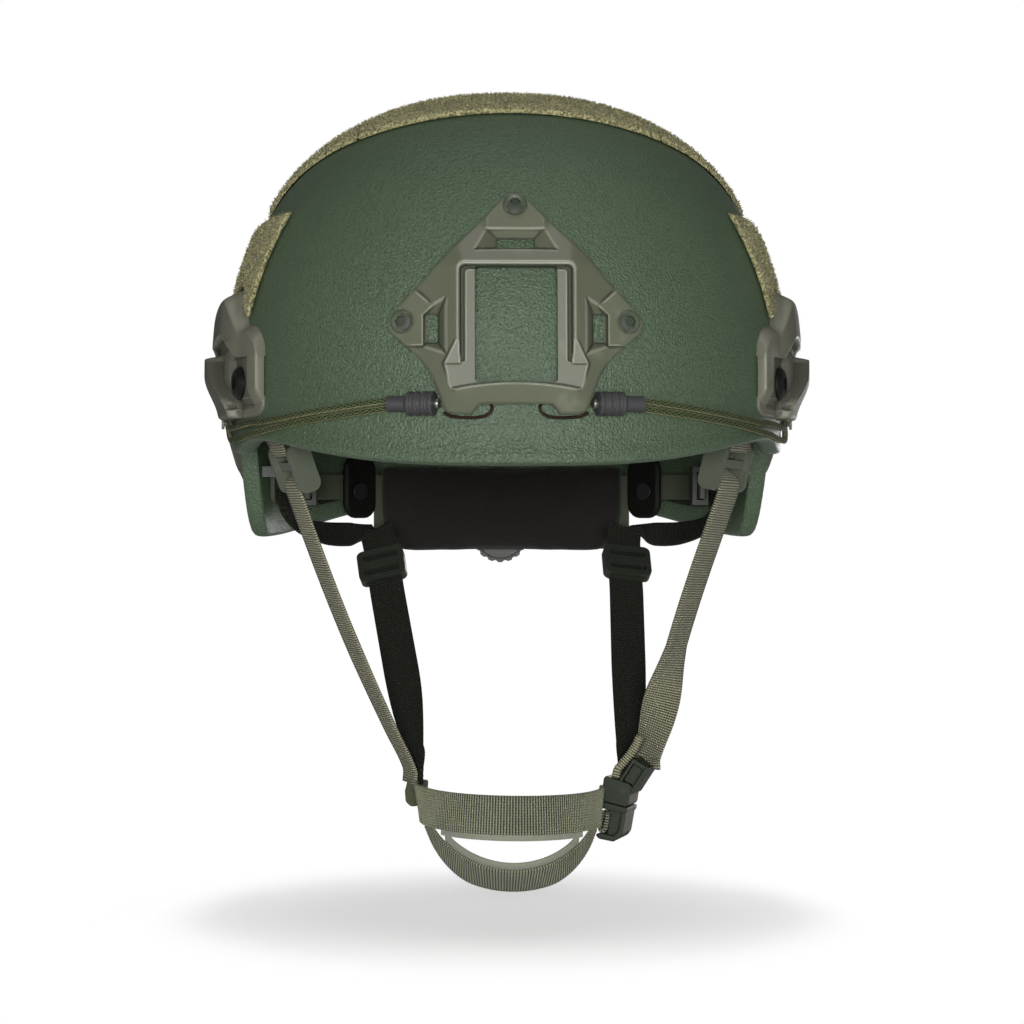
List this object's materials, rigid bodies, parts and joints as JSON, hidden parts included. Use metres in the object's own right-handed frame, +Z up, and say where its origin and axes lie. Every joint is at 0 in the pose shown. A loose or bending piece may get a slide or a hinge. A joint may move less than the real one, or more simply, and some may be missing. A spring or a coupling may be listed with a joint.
{
  "type": "combat helmet",
  "caption": "High-cut protective helmet with side rails, front accessory shroud, hook-and-loop panels, bungees, dial-fitted nape band and buckled chin strap.",
  "frame": {"origin": "middle of the head opening, in the plane of the front brim's lower edge", "axes": "+Z up through the crown, -Y to the front of the helmet, +X to the left of the wearer, where the chin buckle is"},
  "size_m": [0.2716, 0.2925, 0.3441],
  "materials": {
    "shell_paint": "textured matte green paint on a composite shell",
    "rail_polymer": "moulded olive-grey plastic",
    "shroud_polymer": "moulded olive-grey plastic",
    "black_steel": "black oxide",
    "green_steel": "green paint",
    "plain_steel": "plain",
    "bright_steel": "bright",
    "dark_wire": "dark bronze-coloured wire",
    "bungee_braid": "braided elastic cord in dark green and khaki",
    "black_rubber": "ribbed, matte",
    "loop_fabric": "fuzzy loop pile",
    "pad_cloth": "brushed knit over foam",
    "nape_foam": "closed foam with a smooth face",
    "band_polymer": "moulded",
    "dark_polymer": "moulded",
    "wing_leather": "smooth black",
    "lock_polymer": "moulded grey-green plastic",
    "strap_green": "ribbed webbing",
    "strap_dark": "ribbed webbing",
    "chin_webbing": "ribbed webbing",
    "lining_cloth": "soft knit",
    "buckle_polymer": "moulded dark green plastic"
  },
  "bodies": {
    "helmet": {"shell": "shell_paint", "rail_left": "rail_polymer", "rail_right": "rail_polymer", "rail_screws": "black_steel", "rail_nuts": "plain_steel", "front_shroud": "shroud_polymer", "shroud_screws": "green_steel", "shroud_nuts": "plain_steel", "bungee_left": "bungee_braid", "bungee_right": "bungee_braid", "bungee_posts": "rail_polymer", "hook_sleeve_left": "black_rubber", "hook_sleeve_right": "black_rubber", "hook_ferrules": "bright_steel", "hook_left": "dark_wire", "hook_right": "dark_wire", "loop_crown": "loop_fabric", "loop_outer_left": "loop_fabric", "loop_outer_right": "loop_fabric", "loop_side_left": "loop_fabric", "loop_side_right": "loop_fabric", "loop_rear": "loop_fabric", "pad_front": "pad_cloth", "pad_crown": "pad_cloth", "pad_side_left": "pad_cloth", "pad_side_right": "pad_cloth", "pad_rear_left": "pad_cloth", "pad_rear_right": "pad_cloth", "band_guide_left": "dark_polymer", "band_guide_right": "dark_polymer", "strap_anchors": "band_polymer", "front_tab_left": "strap_green", "front_tab_right": "strap_green", "ladder_lock_left": "lock_polymer", "ladder_lock_right": "lock_polymer", "front_strap_left": "strap_green", "front_strap_right": "strap_green", "rear_strap_left": "strap_dark", "rear_strap_right": "strap_dark", "nape_strap": "strap_dark", "junction_slider": "dark_polymer", "buckle_female": "buckle_polymer"},
    "nape_unit": {"fit_band": "band_polymer", "nape_pad": "nape_foam", "dial_housing": "dark_polymer", "side_wing_left": "wing_leather", "side_wing_right": "wing_leather", "wing_screws": "black_steel"},
    "dial": {"fit_dial": "dark_polymer", "dial_shaft": "plain_steel"},
    "rear_slider_left": {"rear_slider_left": "dark_polymer"},
    "rear_slider_right": {"rear_slider_right": "dark_polymer"},
    "chin_cup": {"buckle_male": "buckle_polymer", "chin_band_upper": "chin_webbing", "chin_band_lower": "chin_webbing", "chin_lining_upper": "lining_cloth", "chin_lining_lower": "lining_cloth"}
  },
  "joints": [
    {"name": "fit_dial_turn", "type": "hinge", "parent": "nape_unit", "child": "dial", "pos_m": [0, 0.12, -0.029], "axis": [0, 1, 0], "range_deg": [0, 720]},
    {"name": "nape_slide", "type": "slide", "parent": "helmet", "child": "nape_unit", "axis": [0, -1, 0], "range_m": [0, 0.012]},
    {"name": "buckle_release", "type": "slide", "parent": "helmet", "child": "chin_cup", "axis": [-0.1736, 0, -0.9848], "range_m": [0, 0.022]},
    {"name": "rear_slider_left_slide", "type": "slide", "parent": "helmet", "child": "rear_slider_left", "axis": [0.1285, -0.6147, -0.7783], "range_m": [-0.005, 0.03]},
    {"name": "rear_slider_right_slide", "type": "slide", "parent": "helmet", "child": "rear_slider_right", "axis": [0.0208, -0.6645, -0.747], "range_m": [-0.005, 0.03]}
  ],
  "couplings": [
    {"joint": "fit_dial_turn", "follows": "nape_slide", "rad_per_m": 1047.2}
  ]
}
